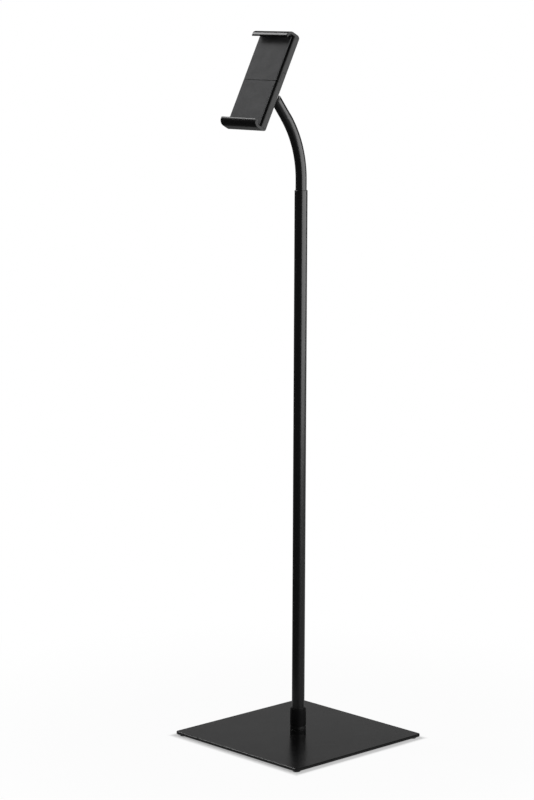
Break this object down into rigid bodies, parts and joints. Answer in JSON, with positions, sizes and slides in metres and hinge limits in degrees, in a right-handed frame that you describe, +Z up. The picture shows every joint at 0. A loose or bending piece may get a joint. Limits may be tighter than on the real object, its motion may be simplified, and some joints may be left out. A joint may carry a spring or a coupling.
{
  "type": "tablet floor stand",
  "caption": "Floor stand for a tablet: square base plate, round pole, bent swivel neck, ball joint with a ring nut, and a spring-loaded clamp with padded jaws",
  "frame": {"origin": "centre of the square base, on the floor under its feet, on the pole's axis", "axes": "+Z up along the pole, -Y the way the neck bends and the clamp faces, +X across the clamp"},
  "size_m": [0.305, 0.305, 1.2278],
  "materials": {
    "powder_coat": "satin black powder coat, finely grained",
    "black_rubber": "matt black moulded rubber",
    "soft_pad": "matt charcoal soft sheet",
    "plated_steel": "zinc plated",
    "black_plastic": "black moulded plastic with a fine spark texture"
  },
  "bodies": {
    "base": {"base_plate": "powder_coat", "base_feet": "black_rubber", "base_bolt": "plated_steel", "base_ring": "powder_coat", "pole_collar": "powder_coat", "pole_insert": "plated_steel", "pole": "powder_coat", "neck_stop": "black_plastic", "neck_screw": "plated_steel"},
    "neck": {"neck_tube": "powder_coat", "neck_plug": "black_plastic"},
    "ball": {"ball_stud": "plated_steel"},
    "nut": {"lock_nut": "black_plastic"},
    "clamp": {"rear_housing": "black_plastic", "lower_jaw": "black_plastic", "lower_pad": "soft_pad", "lower_grip": "black_rubber", "housing_screws": "plated_steel", "spring_anchor": "plated_steel", "jaw_springs": "plated_steel"},
    "slider": {"upper_jaw": "black_plastic", "slider_cover": "black_plastic", "slide_rail": "black_plastic", "upper_pad": "soft_pad", "upper_grip": "black_rubber", "slider_screws": "plated_steel", "spring_pin": "plated_steel"}
  },
  "joints": [
    {"name": "neck_swivel", "type": "hinge", "parent": "base", "child": "neck", "pos_m": [0, 0, 0.96], "axis": [0, 0, 1], "continuous": true},
    {"name": "ball_turn", "type": "hinge", "parent": "neck", "child": "ball", "pos_m": [0, -0.0721, 1.1297], "axis": [0, -0.6157, 0.788], "continuous": true},
    {"name": "ball_tilt", "type": "hinge", "parent": "ball", "child": "nut", "pos_m": [0, -0.0721, 1.1297], "axis": [1, 0, 0], "range_deg": [-62, 13]},
    {"name": "clamp_spin", "type": "hinge", "parent": "nut", "child": "clamp", "pos_m": [0, -0.0721, 1.1297], "axis": [0, -0.8886, 0.4587], "continuous": true},
    {"name": "jaw_slide", "type": "slide", "parent": "clamp", "child": "slider", "axis": [0, 0.4587, 0.8886], "range_m": [0, 0.065], "stiffness_N_per_m": 150, "springref_m": -0.03, "deforming": ["jaw_springs"]}
  ]
}
